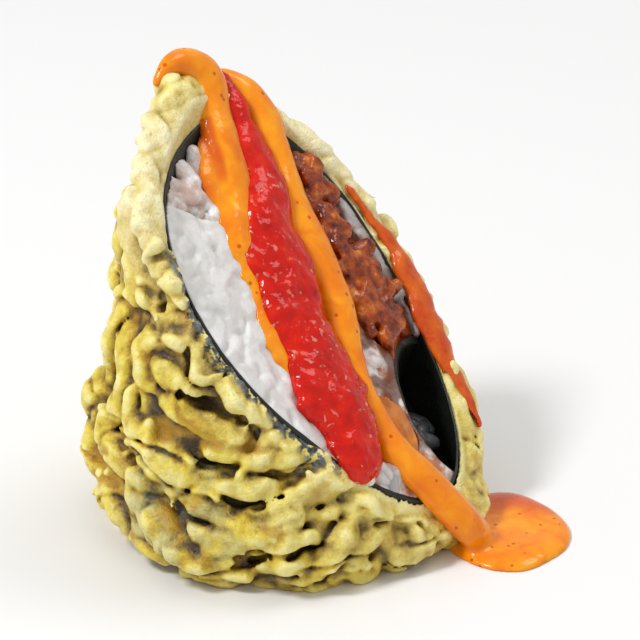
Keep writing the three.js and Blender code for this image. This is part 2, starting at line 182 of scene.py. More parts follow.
class Field:
    """Distances in mm from a shape's surface, on a regular grid, negative inside it."""

    def __init__(self, low, high, pitch):
        self.low = np.array(low, float)
        self.pitch = pitch
        counts = np.ceil((np.array(high) - self.low) / pitch).astype(int) + 1
        steps = [low[i] + pitch * np.arange(counts[i]) for i in range(3)]
        self.x = steps[0].astype(np.float32)[:, None, None]
        self.y = steps[1].astype(np.float32)[None, :, None]
        self.z = steps[2].astype(np.float32)[None, None, :]
        self.d = np.full(counts, 5.0, np.float32)

    def block(self, low, high):
        """The part of the grid between two corners."""
        first = np.floor((np.array(low) - self.low) / self.pitch).astype(int)
        last = np.ceil((np.array(high) - self.low) / self.pitch).astype(int) + 1
        return tuple(slice(max(0, first[i]), max(0, min(last[i], self.d.shape[i]))) for i in range(3))

    def join(self, block, other, blend):
        mine = self.d[block]
        h = np.maximum(blend - np.abs(mine - other), 0) / blend
        self.d[block] = np.minimum(mine, other) - h * h * blend / 4

    def carve(self, block, other, blend=0.25):
        mine = self.d[block]
        h = np.maximum(blend - np.abs(mine + other), 0) / blend
        self.d[block] = np.maximum(mine, -other) + h * h * blend / 4

    def rod(self, a, b, wide, high=None, normal=None, blend=0.4, remove=False):
        """A round or flattened rod from a to b. wide and high hold its half-sizes at a and at b."""
        a = np.array(a, float)
        b = np.array(b, float)
        high = high or wide
        reach = max(*wide, *high) + blend + 3 * self.pitch
        block = self.block(np.minimum(a, b) - reach, np.maximum(a, b) + reach)
        x = self.x[block[0]] - a[0]
        y = self.y[:, block[1]] - a[1]
        z = self.z[:, :, block[2]] - a[2]
        way = b - a
        t = np.clip((x * way[0] + y * way[1] + z * way[2]) / max(way @ way, 1e-9), 0, 1)
        dx = x - t * way[0]
        dy = y - t * way[1]
        dz = z - t * way[2]
        square = dx * dx + dy * dy + dz * dz
        half_wide = wide[0] + (wide[1] - wide[0]) * t
        if normal is None:
            distance = np.sqrt(square) - half_wide
        else:
            half_high = high[0] + (high[1] - high[0]) * t
            lift = dx * normal[0] + dy * normal[1] + dz * normal[2]
            aside = np.maximum(square - lift * lift, 0)
            shape = np.sqrt(aside / half_wide ** 2 + lift * lift / half_high ** 2)
            distance = (shape - 1) * np.minimum(half_wide, half_high)
        if remove:
            self.carve(block, distance)
        else:
            self.join(block, distance, blend)

    def ball(self, centre, radius, blend):
        self.rod(centre, centre, (radius, radius), blend=blend)

    def near(self, limit):
        """Indices and points of the grid within limit of the surface."""
        index = np.nonzero(np.abs(self.d) < limit)
        points = self.low + self.pitch * np.stack(index, axis=1)
        return index, points

    def roughen(self, amount, wavelength, seed, limit=1.6):
        index, points = self.near(limit)
        self.d[index] += amount * noise(points, wavelength, seed)

    def warp(self, moves, limit):
        """Bends the shape near its surface. Each move is an amount, a wavelength and a seed."""
        index, points = self.near(limit)
        shifted = points.copy()
        for amount, wavelength, seed in moves:
            for axis in range(3):
                shifted[:, axis] += amount * noise(points, wavelength, seed + axis)
        self.d[index] = self.sample(self.d, shifted)

    def crease(self, depth, wavelength, width, seed):
        """Crooked narrow furrows that run round the roll more than up it, deeper in some places."""
        index, points = self.near(1.5)
        furrow = np.clip(1 - np.abs(noise(points * (0.55, 0.55, 1.0), wavelength, seed)) / width, 0, 1)
        self.d[index] += depth * furrow * np.clip(0.55 + noise(points, 7.0, seed + 1), 0, 1)

    def keep(self, other):
        """Keeps only what is also inside the other shape."""
        np.maximum(self.d, other, out=self.d)

    def blurred(self, reach):
        """The field averaged over a cube of `reach` cells each way: above 0 on ridges of the surface."""
        total = np.clip(self.d, -2, 2)
        for axis in range(3):
            total = np.moveaxis(total, axis, 0)
            sums = np.cumsum(np.pad(total, ((reach + 1, reach), (0, 0), (0, 0)), "edge"), axis=0)
            total = (sums[2 * reach + 1:] - sums[:-2 * reach - 1]) / (2 * reach + 1)
            total = np.moveaxis(total, 0, axis)
        return total

    def sample(self, values, points):
        place = (points - self.low) / self.pitch
        cell = np.clip(np.floor(place).astype(int), 0, np.array(values.shape) - 2)
        return between_points(values, cell, place - cell, float)

    def surface(self):
        """Points and four-sided faces of the zero surface, by the surface-net method."""
        inside = self.d < 0
        cell_shape = np.array(inside.shape) - 1
        count = np.zeros(cell_shape, np.uint8)
        for i, j, k in np.ndindex(2, 2, 2):
            count += inside[i:i + cell_shape[0], j:j + cell_shape[1], k:k + cell_shape[2]]
        mixed = (count > 0) & (count < 8)
        cells = np.argwhere(mixed)
        ids = np.full(mixed.shape, -1, np.int32)
        ids[mixed] = np.arange(len(cells))
        points = self.low + self.pitch * (cells + self.crossings(cells))
        return points, np.vstack([faces_along(axis, inside, ids) for axis in range(3)])

    def crossings(self, cells):
        """The mean, within each cell, of the places where the surface cuts the cell's edges."""
        corners = list(np.ndindex(2, 2, 2))
        value = {c: self.d[cells[:, 0] + c[0], cells[:, 1] + c[1], cells[:, 2] + c[2]] for c in corners}
        total = np.zeros((len(cells), 3))
        hits = np.zeros(len(cells))
        for a in corners:
            for axis in range(3):
                if a[axis]:
                    continue
                b = tuple(1 if i == axis else a[i] for i in range(3))
                crossing = (value[a] < 0) != (value[b] < 0)
                t = value[a][crossing] / (value[a][crossing] - value[b][crossing])
                place = np.repeat(np.array([a], float), len(t), axis=0)
                place[:, axis] = t
                total[crossing] += place
                hits[crossing] += 1
        return total / hits[:, None]


def faces_along(axis, inside, ids):
    """A face for each grid edge along one axis that the surface cuts, wound to look outwards."""
    second, third = (axis + 1) % 3, (axis + 2) % 3
    here = [slice(None)] * 3
    there = [slice(None)] * 3
    here[axis], there[axis] = slice(None, -1), slice(1, None)
    edges = np.argwhere(inside[tuple(here)] != inside[tuple(there)])
    for side in (second, third):
        edges = edges[(edges[:, side] > 0) & (edges[:, side] < inside.shape[side] - 1)]
    ring = []
    for back_second, back_third in ((1, 1), (0, 1), (0, 0), (1, 0)):
        cell = edges.copy()
        cell[:, second] -= back_second
        cell[:, third] -= back_third
        ring.append(ids[cell[:, 0], cell[:, 1], cell[:, 2]])
    quads = np.stack(ring, axis=1)
    outward = inside[edges[:, 0], edges[:, 1], edges[:, 2]]
    quads[~outward] = quads[~outward][:, ::-1]
    return quads


# ---------------------------------------------------------------- making pieces

def add_object(name, data):
    """A new object in the scene."""
    thing = bpy.data.objects.new(name, data)
    bpy.context.scene.collection.objects.link(thing)
    return thing


def make_piece(name, points, faces, material, slot, replaced=(), attributes=None):
    """A mesh piece from points in mm, riding on the one body."""
    mesh = bpy.data.meshes.new(name)
    mesh.from_pydata((np.asarray(points) * MM).tolist(), [], [list(map(int, face)) for face in faces])
    for key, values in (attributes or {}).items():
        layer = mesh.attributes.new(key, "FLOAT", "POINT")
        layer.data.foreach_set("value", np.asarray(values, np.float32))
    mesh.polygons.foreach_set("use_smooth", np.ones(len(mesh.polygons), bool))
    mesh.update()
    mesh.materials.append(material)
    piece = add_object(name, mesh)
    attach(piece, "root")
    if replaced:
        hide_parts(*replaced)
    return piece


def push_out(points, faces, amount):
    """Points moved along the surface normal by amount, one value to a point."""
    corners = points[faces]
    across = np.cross(corners[:, 2] - corners[:, 0], corners[:, 3] - corners[:, 1])
    normals = np.zeros_like(points)
    for i in range(4):
        np.add.at(normals, faces[:, i], across)
    normals /= np.maximum(np.linalg.norm(normals, axis=1), 1e-9)[:, None]
    return points + normals * np.asarray(amount)[:, None]


def largest_part(points, faces):
    """The surface without loose scraps: its biggest connected part."""
    label = np.arange(len(points))
    while True:
        lowest = label[faces].min(axis=1)
        before = label.copy()
        for i in range(4):
            np.minimum.at(label, faces[:, i], lowest)
        label = label[label]
        if np.array_equal(before, label):
            break
    names, counts = np.unique(label, return_counts=True)
    kept = label == names[np.argmax(counts)]
    index = np.cumsum(kept) - 1
    return points[kept], index[faces[kept[faces[:, 0]]]]


# ---------------------------------------------------------------- materials

class Nodes:
    """A small helper that builds a procedural material. Wavelengths and heights are in mm."""

    def __init__(self, name):
        self.material = bpy.data.materials.new(name)
        self.material.use_nodes = True
        self.tree = self.material.node_tree
        self.shader = self.tree.nodes["Principled BSDF"]
        self.place = self.tree.nodes.new("ShaderNodeTexCoord").outputs["Object"]

    def feed(self, node, inputs):
        """Links sockets to a node's inputs and sets plain values on them."""
        for key, value in inputs.items():
            if isinstance(value, bpy.types.NodeSocket):
                self.tree.links.new(value, node.inputs[key])
            else:
                node.inputs[key].default_value = value

    def add(self, kind, inputs):
        node = self.tree.nodes.new("ShaderNode" + kind)
        self.feed(node, inputs)
        return node

    def attribute(self, name):
        node = self.add("Attribute", {})
        node.attribute_name = name
        return node.outputs["Fac"]

    def noise(self, wavelength, detail=2.0, roughness=0.5, distortion=0.0):
        node = self.add("TexNoise", {"Vector": self.place, "Scale": 1 / (wavelength * MM), "Detail": detail,
                                     "Roughness": roughness, "Distortion": distortion})
        return node.outputs["Fac"]

    def cells(self, wavelength):
        node = self.add("TexVoronoi", {"Vector": self.place, "Scale": 1 / (wavelength * MM)})
        return node.outputs["Distance"]

    def math(self, operation, a, b, clamp=False):
        node = self.add("Math", {0: a, 1: b})
        node.operation = operation
        node.use_clamp = clamp
        return node.outputs[0]

    def times(self, a, b):
        return self.math("MULTIPLY", a, b)

    def steps(self, value, low, high, to_low=0.0, to_high=1.0):
        node = self.add("MapRange", {"Value": value, "From Min": low, "From Max": high, "To Min": to_low,
                                     "To Max": to_high})
        node.interpolation_type = "SMOOTHSTEP"
        return node.outputs["Result"]

    def ramp(self, value, *stops):
        node = self.add("ValToRGB", {"Fac": value})
        elements = node.color_ramp.elements
        while len(elements) < len(stops):
            elements.new(0.5)
        for element, (place, colour) in zip(elements, stops):
            element.position = place
            element.color = (*colour, 1)
        return node.outputs["Color"]

    def mix(self, factor, under, over):
        """Puts the colour `over`, three numbers or a socket, on `under` as far as factor says."""
        node = self.add("Mix", {})
        node.data_type = "RGBA"
        over = (*over, 1) if isinstance(over, tuple) else over
        self.feed(node, {"Factor": factor, "A": under, "B": over})
        return node.outputs["Result"]

    def bump(self, height, distance, strength=1.0, under=None):
        node = self.add("Bump", {"Distance": distance * MM, "Strength": strength, "Height": height})
        if under is not None:
            self.feed(node, {"Normal": under})
        return node.outputs["Normal"]

    def finish(self, colour, roughness, normal=None, specular=0.5, scatter=None):
        """Feeds the shader. scatter is the weight, the scale in mm and the radii of scattered light."""
        self.feed(self.shader, {"Base Color": colour, "Roughness": roughness,
                                "Specular IOR Level": specular})
        if normal is not None:
            self.feed(self.shader, {"Normal": normal})
        if scatter:
            weight, scale, radii = scatter
            self.feed(self.shader, {"Subsurface Weight": weight, "Subsurface Scale": scale * MM,
                                    "Subsurface Radius": radii})
        return self.material


def batter_material():
    """Pale yellow crests over golden and brown hollows, with olive, cream and black parts; the hollows and
    creases are painted darker as shade, down to black-brown.
    """
    n = Nodes("fried_batter")
    patches = n.noise(4.0, 3.0, 0.6)
    grain = n.noise(0.9, 4.0, 0.65)
    # The ridge attribute is low in hollows and creases, so the ramps below paint shade there, darkest at
    # the bottom.
    height = n.math("ADD", n.attribute("ridge"), n.times(n.math("SUBTRACT", grain, 0.5), 0.60))
    height = n.math("ADD", height, n.times(n.math("SUBTRACT", patches, 0.5), 0.50), clamp=True)
    colour = n.ramp(height, (0.05, (0.035, 0.016, 0.002)), (0.22, (0.16, 0.085, 0.006)),
                    (0.38, (0.41, 0.25, 0.012)), (0.55, (0.65, 0.47, 0.030)),
                    (0.76, (0.80, 0.65, 0.085)), (1.0, (0.91, 0.81, 0.30)))
    olive = n.ramp(height, (0.10, (0.055, 0.048, 0.018)), (0.40, (0.33, 0.285, 0.085)),
                   (0.85, (0.68, 0.62, 0.27)))
    grey = n.times(n.attribute("olive"), n.steps(n.noise(3.0, 3.0, 0.6), 0.40, 0.60))
    colour = n.mix(grey, colour, olive)
    golden = n.times(n.steps(n.noise(5.2), 0.54, 0.68, 0.0, 0.75), n.steps(height, 0.9, 0.5))
    colour = n.mix(golden, colour, (0.52, 0.28, 0.012))
    cream = n.ramp(height, (0.1, (0.36, 0.24, 0.04)), (0.4, (0.76, 0.63, 0.22)), (0.8, (0.92, 0.85, 0.54)))
    colour = n.mix(n.attribute("pale"), colour, cream)
    sheet_shows = n.times(n.attribute("thin"), n.steps(n.noise(1.5, 3.0, 0.6), 0.42, 0.52))
    sheet = n.ramp(n.noise(0.9), (0.38, (0.012, 0.015, 0.015)), (0.62, (0.15, 0.17, 0.175)))
    colour = n.mix(sheet_shows, colour, sheet)
    specks = n.steps(n.noise(0.7), 0.68, 0.75, 0.0, 0.35)
    colour = n.mix(specks, colour, (0.16, 0.09, 0.015))
    crinkles = n.bump(n.noise(1.3, 4.0, 0.7, 0.8), 0.45, 0.8)
    fine = n.bump(n.noise(0.42, 3.0, 0.65), 0.14, under=crinkles)
    roughness = n.steps(grain, 0.3, 0.7, 0.46, 0.24)
    return n.finish(colour, roughness, fine, 0.5, (0.07, 0.8, (1.0, 0.62, 0.22)))


def nori_material():
    n = Nodes("nori_sheet")
    patches = n.noise(1.4, 4.0, 0.7)
    colour = n.ramp(patches, (0.3, (0.004, 0.005, 0.004)), (0.62, (0.014, 0.018, 0.012)),
                    (0.8, (0.045, 0.050, 0.034)))
    roughness = n.steps(patches, 0.3, 0.7, 0.55, 0.30)
    return n.finish(colour, roughness, n.bump(n.noise(0.7, 4.0, 0.7), 0.15))


def rice_material():
    """Moist white, with painted shade as grey between the grains, sauce stains, the filling's glaze and
    dark grey painted shade where the rice lies in shadow.
    """
    n = Nodes("sushi_rice")
    colour = n.ramp(n.noise(3.0, 3.0, 0.55), (0.25, (0.66, 0.645, 0.62)), (0.5, (0.79, 0.78, 0.765)),
                    (0.75, (0.88, 0.87, 0.86)))
    # Painted shade: grey where the grains meet, at the edges of cells about a grain across.
    colour = n.mix(n.steps(n.cells(2.7), 0.44, 0.62, 0.0, 0.40), colour, (0.56, 0.55, 0.52))
    stained = n.times(n.attribute("stain"), n.steps(n.noise(1.8, 3.0, 0.6), 0.38, 0.62))
    colour = n.mix(stained, colour, (0.44, 0.12, 0.018))
    colour = n.mix(n.attribute("glaze"), colour, (0.13, 0.030, 0.006))
    # Painted shade: dark grey where the rice lies in shadow, on the far side and in the hollow.
    colour = n.mix(n.attribute("painted_shade"), colour, (0.060, 0.066, 0.070))
    roughness = n.steps(n.noise(1.2), 0.35, 0.65, 0.26, 0.46)
    n.feed(n.shader, {"Coat Weight": 0.15, "Coat Roughness": 0.2})
    return n.finish(colour, roughness, n.bump(n.noise(0.8), 0.10), 0.5, (0.25, 1.2, (1.0, 0.9, 0.8)))


def orange_material():
    n = Nodes("orange_sauce")
    colour = n.ramp(n.noise(3.5, 3.0, 0.55, 0.6), (0.25, (0.80, 0.17, 0.002)), (0.5, (0.91, 0.27, 0.003)),
                    (0.78, (0.97, 0.42, 0.010)))
    colour = n.mix(n.attribute("red"), colour, (0.60, 0.060, 0.003))
    colour = n.mix(n.steps(n.cells(1.9), 0.10, 0.16, 0.75, 0.0), colour, (0.45, 0.045, 0.003))
    return n.finish(colour, 0.11, n.bump(n.noise(1.4), 0.10), 0.34, (0.12, 1.0, (1.0, 0.40, 0.05)))


def red_material():
    """Deep red with painted highlights: lighter flecks in loose groups that stand in for sparkles, with
    bumps under them.
    """
    n = Nodes("red_sauce")
    colour = n.ramp(n.noise(2.2, 3.0, 0.6), (0.25, (0.42, 0.003, 0.001)), (0.55, (0.64, 0.008, 0.001)),
                    (0.8, (0.74, 0.030, 0.002)))
    groups = n.steps(n.noise(4.5), 0.46, 0.60)
    # Painted highlight: light pink flecks in groups, standing in for sparkles of light.
    painted_sparkles = n.times(groups, n.steps(n.noise(0.95, 1.0), 0.61, 0.68))
    colour = n.mix(n.times(painted_sparkles, 0.55), colour, (0.95, 0.34, 0.24))
    sparkle_bumps = n.bump(painted_sparkles, 0.16, under=n.bump(n.noise(1.3), 0.20))
    return n.finish(colour, 0.10, sparkle_bumps, 0.30)


def streak_material():
    n = Nodes("red_orange_sauce")
    colour = n.ramp(n.noise(2.6, 3.0, 0.6), (0.3, (0.52, 0.035, 0.002)), (0.7, (0.72, 0.14, 0.004)))
    return n.finish(colour, 0.18, n.bump(n.noise(1.1), 0.16), 0.38)


def filling_material():
    n = Nodes("chopped_filling")
    colour = n.ramp(n.noise(2.0, 4.0, 0.65), (0.30, (0.040, 0.005, 0.001)), (0.46, (0.22, 0.026, 0.002)),
                    (0.60, (0.44, 0.085, 0.005)), (0.74, (0.72, 0.30, 0.045)))
    return n.finish(colour, 0.10, n.bump(n.noise(1.1), 0.22), 0.45, (0.12, 1.0, (1.0, 0.35, 0.08)))


def strip_material():
    n = Nodes("filling_strip")
    colour = n.ramp(n.noise(1.8, 3.0, 0.6), (0.3, (0.46, 0.115, 0.012)), (0.55, (0.64, 0.20, 0.024)),
                    (0.8, (0.76, 0.33, 0.07)))
    return n.finish(colour, 0.28, n.bump(n.noise(0.8), 0.12), 0.4, (0.2, 1.0, (1.0, 0.40, 0.12)))


def floor_material():
    return Nodes("pale_floor").finish((0.86, 0.86, 0.87, 1), 0.42)


# ---------------------------------------------------------------- batter

CRUST_PITCH = 0.3
CRUST_TRIANGLES = 194000
SHELL_SINK = 0.7  # the plain shell lies this far under the crust's mean, as folds stand on it
FILM_THICKNESS = 0.55  # batter on the nori under the near rim
FILM_BAND = 2.4
FILM_BEARINGS = (-124, -36)
NORI_GAP = 0.04  # between the crust and the roll's wall
CUT_REACH = 20  # mean radius at which the crust meets the cut
DEGREES_PER_MM = 180 / math.pi / 21  # round the crust, at its mean radius

# Folds that the front shows: half-width, and a route of (bearing, height).
FRONT_FOLDS = (
    (2.1, ((-146, 18.0), (-150, 14.5), (-149, 10.5), (-142, 7.0))),
    (1.2, ((-136, 30.0), (-136, 25.5), (-140, 21.5), (-143, 18.5))),
    (1.6, ((-128, 27), (-125, 22.5), (-127, 18.6), (-133, 15.4), (-131, 12.0), (-121, 10.6),
           (-109, 10.6))),
    (1.2, ((-119, 21.5), (-119, 18), (-112, 16.4), (-105, 15.0))),
    (1.3, ((-110, 17.6), (-107, 14.9), (-99, 13.2), (-88, 12.4), (-76, 12.4), (-67, 13.4))),
    (1.45, ((-107, 21.6), (-94, 20.0), (-80, 18.2))),
    (1.2, ((-111, 25.0), (-103, 24.5), (-97, 22.9))),
    (1.45, ((-89, 25.0), (-80, 22.4), (-71, 19.3), (-61, 18.0))),
    (1.15, ((-93, 17.2), (-79, 15.9), (-70, 15.8), (-59, 15.6))),
    (1.1, ((-99, 10.2), (-88, 9.4), (-80, 8.6), (-74, 8.8))),
    (1.6, ((-118, 8.4), (-108, 7.4), (-101, 5.6), (-95, 4.2), (-86, 3.0))),
    (1.5, ((-88, 5.4), (-79, 6.9), (-70, 8.6), (-60, 10.0))),
    (1.7, ((-74, 10.6), (-57, 12.0), (-40, 12.6))),
    (1.1, ((-136, 6.5), (-124, 4.6), (-112, 3.2), (-104, 1.8))),
    (1.0, ((-100, 1.0), (-90, 0.9), (-80, 1.4))),
    (0.7, ((-99, 28.0), (-97, 25.9), (-93, 25.6), (-90, 26.6))),
    (0.85, ((-107, 29.2), (-102, 28.4))),
    (1.3, ((-57, 1.6), (-50, 5.0), (-40, 8.0))),
    (1.0, ((-46, 2.6), (-38, 5.2), (-30, 6.4))),
    (1.2, ((-32, 4.6), (-20, 2.8), (-9, 3.2))),
    (1.3, ((-40, 9.8), (-26, 8.4), (-12, 7.4))),
    (1.2, ((6, 11.0), (0, 8.2), (-8, 5.6))),
    (1.7, ((-116, 49), (-128, 45.0), (-134, 40), (-128, 36.5), (-127, 31))),
    (1.1, ((-114, 41.0), (-112, 36.5), (-109, 32))),
    (1.1, ((-118, 27.4), (-115, 25), (-113, 22.7))),
    (1.0, ((-68, 5.6), (-60, 7.0), (-52, 7.6))),
    (1.8, ((-151, 38.8), (-147, 36.4), (-145, 34.0))),
)
# Small dark holes down to the nori: bearing, height, radius.
HOLES = ((-92, 26.9, 1.1), (-101, 32.0, 0.7), (-104, 35.4, 0.7), (-99, 29.2, 0.55), (-95, 22.3, 0.55),
         (-92, 15.2, 0.4), (-74, 5.2, 0.5), (-113, 31.5, 0.45), (-120, 12.6, 0.4))
# Gaps between folds that go down to the nori: half-width, and a route of (bearing, height).
GAPS = (
    (0.65, ((-100, 22.9), (-93, 22.0), (-85, 21.2), (-80, 20.6))),
    (0.45, ((-84, 11.2), (-74, 11.0), (-66, 11.6))),
    (0.45, ((-105, 13.2), (-98, 12.4))),
    (0.45, ((-119, 14.2), (-108, 13.8))),
    (0.5, ((-77, 3.6), (-70, 4.6))),
)
GAP_DEPTHS = (0.6, -0.5, -1.6)
BACK_FOLD_BEARINGS = (12, 214)
BACK_FOLD_PITCH = 17
BACK_ROW_PITCH = 3.9
SMALL_FOLDS = 70
CRUMB_COUNT = 240
# The ridge of batter along the rim of the cut: bearing and half-width.
RIM_RIDGE = ((-104, 0.7), (-114, 1.1), (-126, 1.35), (-138, 1.3), (-150, 1.5), (-162, 1.6), (-172, 1.9),
             (-182, 2.2), (-194, 2.1), (-208, 1.5), (-222, 1.3), (-240, 1.2), (-262, 1.1), (-290, 0.9),
             (-318, 0.9))
RIDGE_OUT = 0.56  # how far across the lip it runs
RIDGE_LUMPS = 80
RIDGE_LUMPS_END = -226
# Knobs on the ridge, under the sauce: u, v and w on the cut face, and radius.
APEX_KNOBS = ((-29.9, 0.3, -0.1, 2.1), (-29.4, 3.2, -0.4, 2.0), (-28.9, -1.9, 0.0, 1.5),
              (-28.3, 1.0, 0.8, 1.4))


def crust_radius(bearing, z):
    """Radius of the plain shell under the folds."""
    cosine = np.cos(np.radians(bearing))
    top = CUT_HEIGHT - TAN * CUT_REACH * cosine
    drop = np.clip((top - z) / np.maximum(top - TUCK_HEIGHT, 4), 0, 1)
    lip = at_bearing(LIP_THICKNESS, bearing)
    foot = at_bearing(FOOT_THICKNESS, bearing)
    tucked = np.clip(1 - z / TUCK_HEIGHT, 0, 1) ** 2
    batter = lip + (foot - lip) * drop - at_bearing(FOOT_TUCK, bearing) * tucked - SHELL_SINK
    below_rim = np.maximum(CUT_HEIGHT - TAN * roll_radius(bearing) * cosine - z, 0)
    film = smooth_band(*FILM_BEARINGS, 20, bearing) * np.exp(-(below_rim / FILM_BAND) ** 2)
    return roll_radius(bearing) + np.maximum(batter, 0.5) * (1 - film) + FILM_THICKNESS * film


def crust_point(bearing, z, lift):
    """A point over the plain shell."""
    radius = float(crust_radius(np.array([bearing]), np.array([z]))[0]) + lift
    angle = math.radians(bearing)
    return np.array([radius * math.cos(angle), radius * math.sin(angle), z])


def below_fold(rows, i, reach):
    """The point of the crust beside step i of a fold's route, on its lower side."""
    before, after = rows[max(i - 1, 0)], rows[min(i + 1, len(rows) - 1)]
    way = np.array([(after[0] - before[0]) / DEGREES_PER_MM, after[1] - before[1]])
    aside = np.array([way[1], -way[0]]) / max(math.hypot(*way), 1e-6)
    aside = aside if aside[1] < 0 else -aside
    bearing = rows[i][0] + aside[0] * reach * DEGREES_PER_MM
    return crust_point(bearing, rows[i][1] + aside[1] * reach, -0.1)


def lay_fold(field, half_width, route, draw, lift=0.25, groove=0.45):
    """A rope of batter along the crust with a groove on its lower side, swelling and thinning a little."""
    rows = smooth_route(route, 6)
    count = len(rows)
    step = np.arange(count)
    phase = draw.uniform(0, 2 * math.pi, 3)
    ends = smooth_step(-1, 3, np.minimum(step, count - 1 - step))
    swell = 1 + 0.14 * np.sin(0.5 * step + phase[0]) + 0.08 * np.sin(1.3 * step + phase[1])
    widths = half_width * (0.55 + 0.45 * ends) * swell
    lifts = lift * ends - 0.5 * (1 - ends) + 0.22 * np.sin(0.4 * step + phase[2])
    spots = [crust_point(b, z, lifts[i]) for i, (b, z) in enumerate(rows)]
    lower = [below_fold(rows, i, widths[i] * 0.95 + 0.15) for i in range(count)]
    for i in range(1, count - 2):
        field.rod(lower[i], lower[i + 1], (groove * ends[i], groove * ends[i + 1]), remove=True)
    for i in range(count - 1):
        angle = math.radians((rows[i][0] + rows[i + 1][0]) / 2)
        outward = (math.cos(angle), math.sin(angle), 0)
        wide = (widths[i], widths[i + 1])
        field.rod(spots[i], spots[i + 1], wide, (0.9 * wide[0], 0.9 * wide[1]), outward, 0.5)


def back_folds(field, draw):
    """Rows of folds round the side that the photo hides."""
    for bearing in np.arange(BACK_FOLD_BEARINGS[0], BACK_FOLD_BEARINGS[1], BACK_FOLD_PITCH):
        for z in np.arange(2.0, rim_z(bearing) - 1, BACK_ROW_PITCH):
            middle = bearing + draw.uniform(-8, 8)
            height = z + draw.uniform(-1.4, 1.4)
            half = draw.uniform(8, 16)
            tilt = draw.uniform(-4, 4)
            bow = draw.uniform(-1.8, 1.8)
            route = ((middle - half, max(height - tilt, 1)), (middle, height + bow),
                     (middle + half, max(height + tilt, 1)))
            lay_fold(field, draw.uniform(1.0, 1.7), route, draw, draw.uniform(-0.1, 0.4))


def small_folds(field, draw):
    """Short wrinkles between the large folds, which lean as those near them do."""
    for _ in range(SMALL_FOLDS):
        bearing = draw.uniform(-150, 0)
        z = 1.5 + draw.uniform(0, 1) * max(rim_z(bearing) - 3 - 1.5, 1)
        lean = -0.45 if z > 12 else -0.5 + 0.9 * (bearing + 120) / 80
        half = draw.uniform(3.0, 8.0)
        rise = lean * half * 0.37
        bow = draw.uniform(-0.5, 0.5)
        route = ((bearing - half, z - rise), (bearing, z + bow), (bearing + half, z + rise))
        lay_fold(field, draw.uniform(0.45, 0.85), [(b, max(h, 0.8)) for b, h in route], draw, 0.1, 0.3)


def crumbs_on_crust(field, draw):
    for _ in range(CRUMB_COUNT):
        bearing = draw.uniform(-180, 180)
        z = 1.2 + draw.uniform(0, 1) * max(rim_z(bearing) - 1.5 - 1.2, 1)
        field.ball(crust_point(bearing, z, draw.uniform(0.2, 0.9)), draw.uniform(0.35, 0.8), 0.6)


def add_film(field, outside_nori):
    """A thin uneven film of batter that covers the sheet under the cut."""
    index, points = field.near(2.5)
    film = np.full_like(field.d, 5)
    thick = FILM_THICKNESS + 0.16 * noise(points, 1.3, 7) + 0.12 * noise(points, 3.5, 8)
    rise = above_cut(points[:, 0], points[:, 2])
    ragged = 0.12 + 0.16 * noise(points, 1.0, 9)
    film[index] = np.maximum(outside_nori[index] - thick, rise + ragged)
    field.join(WHOLE, film, 0.3)


def rim_point(bearing, out, lift):
    """A point over the cut rim of the batter, `out` of the way across the lip."""
    at = np.array([bearing])
    radius = float(roll_radius(at)[0] + out * at_bearing(LIP_THICKNESS, at)[0])
    angle = math.radians(bearing)
    x = radius * math.cos(angle)
    return np.array([x, radius * math.sin(angle), cut_z(x)]) + CUT_NORMAL * lift


def rim_ridge(field, draw):
    rows = smooth_route(RIM_RIDGE, 5)
    outs = RIDGE_OUT + 0.10 * np.sin(0.8 * np.arange(len(rows))) + draw.uniform(-0.06, 0.06, len(rows))
    spots = [rim_point(row[0], out, draw.uniform(-0.25, 0.15)) for row, out in zip(rows, outs)]
    for i in range(len(rows) - 1):
        wide = (rows[i, 1], rows[i + 1, 1])
        field.rod(spots[i], spots[i + 1], wide, (0.7 * wide[0], 0.7 * wide[1]), CUT_NORMAL, 0.8)
    for _ in range(RIDGE_LUMPS):
        bearing = draw.uniform(RIDGE_LUMPS_END, RIM_RIDGE[0][0])
        way = draw.uniform(-4, 4)
        size = draw.uniform(0.4, 0.95)
        a = rim_point(bearing, draw.uniform(0.25, 1.05), draw.uniform(-0.4, 0.5))
        b = rim_point(bearing + way, draw.uniform(0.35, 1.0), draw.uniform(-0.4, 0.4))
        field.rod(a, b, (size, size * 0.8), blend=0.5)
    for u, v, w, radius in APEX_KNOBS:
        field.ball(on_cut(u, v, w), radius, 0.7)


def open_holes(field):
    """Small holes, and gaps between folds, that go down to the sheet."""
    for bearing, z, radius in HOLES:
        field.rod(crust_point(bearing, z, 1.5), crust_point(bearing, z, -4), (radius, radius), remove=True)
    for radius, route in GAPS:
        rows = smooth_route(route)
        for a, b in zip(rows, rows[1:]):
            for depth in GAP_DEPTHS:
                field.rod(crust_point(*a, depth), crust_point(*b, depth), (radius, radius), remove=True)


def crust_field():
    """The crust from the plain shell up: folds, crumbs, ridge, holes, then bends, furrows and grain."""
    field = Field((-30.5, -27, -0.9), (24.5, 25.5, 57), CRUST_PITCH)
    draw = np.random.default_rng(11)
    bearing = np.degrees(np.arctan2(field.y, field.x)).repeat(field.z.shape[2], axis=2)
    reach = np.hypot(field.x, field.y)
    outside_nori = reach - roll_radius(bearing) - NORI_GAP
    field.d = (reach - crust_radius(bearing, field.z)).astype(np.float32)
    field.roughen(0.45, 6.0, 1, 2.5)
    back_folds(field, draw)
    small_folds(field, draw)
    for half_width, route in FRONT_FOLDS:
        lay_fold(field, half_width, route, draw, 0.3, 0.6)
    crumbs_on_crust(field, draw)
    field.keep(above_cut(field.x, field.z))
    rim_ridge(field, draw)
    open_holes(field)
    field.warp(((0.70, 5.0, 100), (0.30, 1.8, 110)), 3.0)
    field.crease(0.60, 4.4, 0.13, 120)
    field.crease(0.45, 2.6, 0.16, 130)
    field.roughen(0.16, 2.2, 2)
    field.roughen(0.15, 1.1, 3)
    add_film(field, outside_nori)
    field.keep(np.where(field.z > FLOOR_THICKNESS, -outside_nori, -9))
    field.keep(-field.z)
    return field


